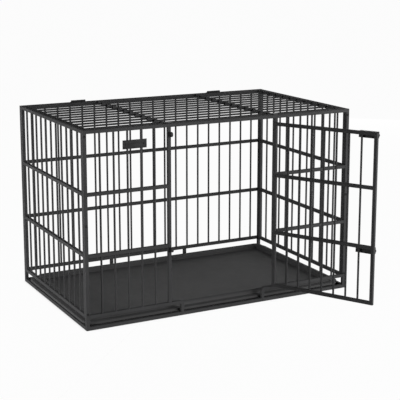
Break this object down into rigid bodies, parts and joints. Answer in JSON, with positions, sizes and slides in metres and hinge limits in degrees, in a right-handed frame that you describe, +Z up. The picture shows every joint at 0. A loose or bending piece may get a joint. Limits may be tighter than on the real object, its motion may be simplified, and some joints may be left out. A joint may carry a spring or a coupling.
{
  "type": "dog crate",
  "caption": "Heavy duty dog crate of welded square tube and round bars, with a swinging front door on slide bolts, a lifting roof and a slide-out plastic tray.",
  "frame": {"origin": "on the floor, under the middle of the crate, door and hinges left out", "axes": "+X along the long side, towards the door's hinges; +Y from the front to the back; +Z up"},
  "size_m": [1.22, 1.1642, 0.8045],
  "materials": {
    "coated_steel": "fine satin powder coat, charcoal black",
    "black_fitting": "satin black",
    "tray_plastic": "matte thermoformed dark grey"
  },
  "bodies": {
    "crate": {"front_corner_posts": "coated_steel", "front_top_rail": "coated_steel", "front_floor_rail": "coated_steel", "latch_post": "coated_steel", "hinge_post": "coated_steel", "front_mid_rails": "coated_steel", "front_sill_rails": "coated_steel", "front_sill_legs": "coated_steel", "front_uprights": "coated_steel", "back_corner_posts": "coated_steel", "back_top_rail": "coated_steel", "back_floor_rail": "coated_steel", "back_rails": "coated_steel", "back_stubs": "coated_steel", "back_uprights": "coated_steel", "left_posts": "coated_steel", "left_rails": "coated_steel", "left_bars": "coated_steel", "right_posts": "coated_steel", "right_rails": "coated_steel", "right_bars": "coated_steel", "side_floor_rails": "coated_steel", "floor_runners": "coated_steel", "corner_bolts": "black_fitting", "latch_keepers": "black_fitting", "door_hinge_barrels": "black_fitting", "door_hinge_pins": "black_fitting", "roof_hinge_leaves": "black_fitting", "roof_hinge_pins": "black_fitting", "name_plate": "black_fitting", "plate_strip": "coated_steel", "plate_screws": "black_fitting"},
    "door": {"door_hinge_stile": "coated_steel", "door_free_stile": "coated_steel", "door_rails": "coated_steel", "door_uprights": "coated_steel", "door_knuckles": "black_fitting", "upper_housing": "black_fitting", "lower_housing": "black_fitting", "latch_rivets": "black_fitting"},
    "upper_bolt": {"upper_bolt": "black_fitting", "upper_knob": "black_fitting"},
    "lower_bolt": {"lower_bolt": "black_fitting", "lower_knob": "black_fitting"},
    "roof": {"roof_long_tubes": "coated_steel", "roof_short_tubes": "coated_steel", "roof_cross_tubes": "coated_steel", "roof_lengthways": "coated_steel", "roof_moving_leaves": "black_fitting", "roof_tabs": "black_fitting"},
    "tray": {"tray": "tray_plastic"}
  },
  "joints": [
    {"name": "door_swing", "type": "hinge", "parent": "crate", "child": "door", "pos_m": [0.2347, -0.3725, 0.4], "axis": [0, 0, 1], "range_deg": [-119, 53]},
    {"name": "upper_bolt_slide", "type": "slide", "parent": "door", "child": "upper_bolt", "axis": [0.4848, -0.8746, 0], "range_m": [0, 0.025]},
    {"name": "lower_bolt_slide", "type": "slide", "parent": "door", "child": "lower_bolt", "axis": [0.4848, -0.8746, 0], "range_m": [0, 0.025]},
    {"name": "roof_lift", "type": "hinge", "parent": "crate", "child": "roof", "pos_m": [0, 0.357, 0.8], "axis": [-1, 0, 0], "range_deg": [0, 180]},
    {"name": "tray_slide", "type": "slide", "parent": "crate", "child": "tray", "axis": [-1, 0, 0], "range_m": [0, 1.1]}
  ]
}
